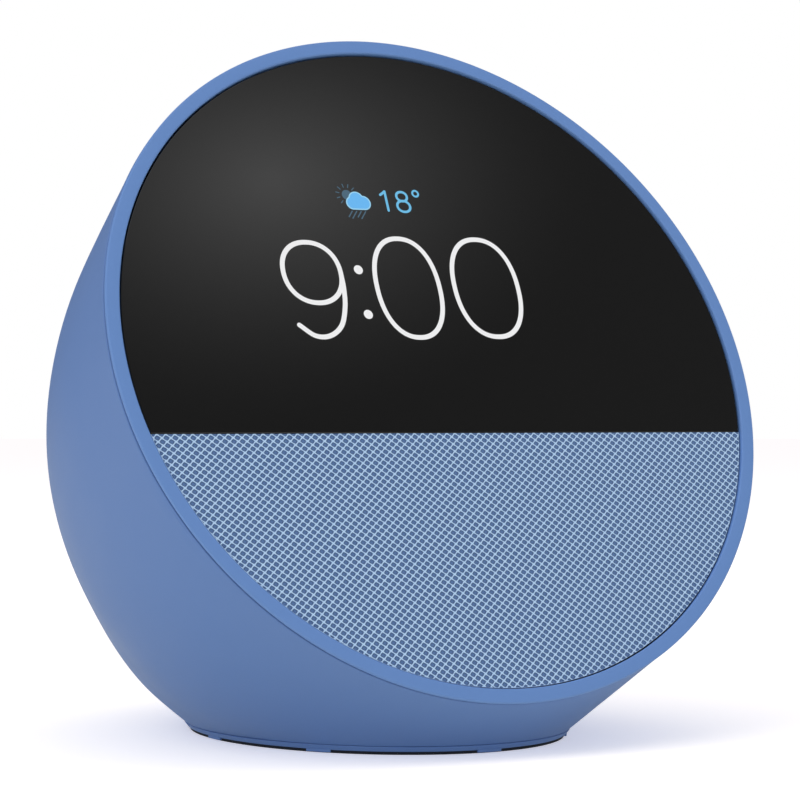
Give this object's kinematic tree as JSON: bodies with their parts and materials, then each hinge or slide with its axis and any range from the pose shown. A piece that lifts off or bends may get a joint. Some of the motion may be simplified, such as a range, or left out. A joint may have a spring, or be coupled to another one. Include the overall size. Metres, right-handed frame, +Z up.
{
  "type": "smart display",
  "caption": "Round-faced desk smart display with a leaning half-round lens, a fabric speaker grille, sprung top keys and a low round foot.",
  "frame": {"origin": "under the middle of the object's box, on the plane that the foot rests on", "axes": "+Z up; the display face looks along -Y and leans back; +X is to the viewer's right"},
  "size_m": [0.113, 0.1008, 0.1114],
  "materials": {
    "shell_blue": "fine matte moulded",
    "ring_blue": "fine matte moulded",
    "key_blue": "fine matte moulded",
    "lens_black": "polished, back printed black",
    "grille_fabric": "open lattice knit over a dark backing",
    "black_plastic": "satin moulded",
    "grey_plastic": "satin moulded",
    "foam": "closed cell foam",
    "foot_rubber": "matte",
    "steel": "stamped and plated",
    "screw_steel": "zinc plated",
    "aluminium": "stamped",
    "magnet": "sintered ferrite",
    "copper": "enamelled winding",
    "contact_gold": "plated",
    "board_green": "solder mask",
    "flex_amber": "polyimide film",
    "cone_paper": "pressed fibre",
    "spider_cloth": "resin treated cloth",
    "display_cell": "laminated cell",
    "cable_black": "jacketed lead",
    "cable_red": "insulated lead",
    "white_plastic": "moulded connector"
  },
  "bodies": {
    "housing": {"rear_shell": "shell_blue", "bezel_ring": "ring_blue", "front_frame": "grey_plastic", "display_lens": "lens_black", "lens_tape": "foam", "touch_film": "display_cell", "lcd_module": "display_cell", "lcd_bracket": "steel", "light_sensor": "board_green", "grille_frame": "black_plastic", "speaker_fabric": "grille_fabric", "speaker_gasket": "foam", "speaker_basket": "grey_plastic", "speaker_top_plate": "steel", "speaker_magnet": "magnet", "speaker_yoke": "steel", "speaker_surround": "foam", "speaker_spider": "spider_cloth", "speaker_screws": "screw_steel", "main_board": "board_green", "shield_cans": "steel", "heat_spreader": "aluminium", "board_connectors": "white_plastic", "board_screws": "screw_steel", "frame_screws": "screw_steel", "key_bracket": "grey_plastic", "key_flex": "flex_amber", "key_switches": "steel", "microphones": "contact_gold", "microphone_boots": "foam", "bracket_screws": "screw_steel", "jack_bezel": "ring_blue", "dc_jack": "black_plastic", "jack_pin": "contact_gold", "jack_board": "board_green", "dc_lead": "cable_black", "speaker_leads": "cable_red", "display_flex": "flex_amber", "wifi_antennas": "contact_gold", "antenna_leads": "cable_black", "base_plate": "shell_blue", "base_screws": "screw_steel", "ballast_weight": "steel", "foot_pad": "foot_rubber"},
    "volume_down_cap": {"key_volume_down": "key_blue"},
    "microphone_cap": {"key_microphone": "key_blue"},
    "volume_up_cap": {"key_volume_up": "key_blue"},
    "cone_assembly": {"speaker_cone": "cone_paper", "dust_cap": "cone_paper", "voice_coil": "copper"}
  },
  "joints": [
    {"name": "volume_down_press", "type": "slide", "parent": "housing", "child": "volume_down_cap", "axis": [0.309, -0.559, -0.7694], "range_m": [0, 0.0005], "stiffness_N_per_m": 400, "springref_m": -0.0005},
    {"name": "microphone_press", "type": "slide", "parent": "housing", "child": "microphone_cap", "axis": [0, -0.5878, -0.809], "range_m": [0, 0.0005], "stiffness_N_per_m": 400, "springref_m": -0.0005},
    {"name": "volume_up_press", "type": "slide", "parent": "housing", "child": "volume_up_cap", "axis": [-0.309, -0.559, -0.7694], "range_m": [0, 0.0005], "stiffness_N_per_m": 400, "springref_m": -0.0005},
    {"name": "cone_stroke", "type": "slide", "parent": "housing", "child": "cone_assembly", "axis": [0, -0.9114, 0.4115], "range_m": [-0.0012, 0.0012], "stiffness_N_per_m": 700, "deforming": ["speaker_surround", "speaker_spider"]}
  ]
}
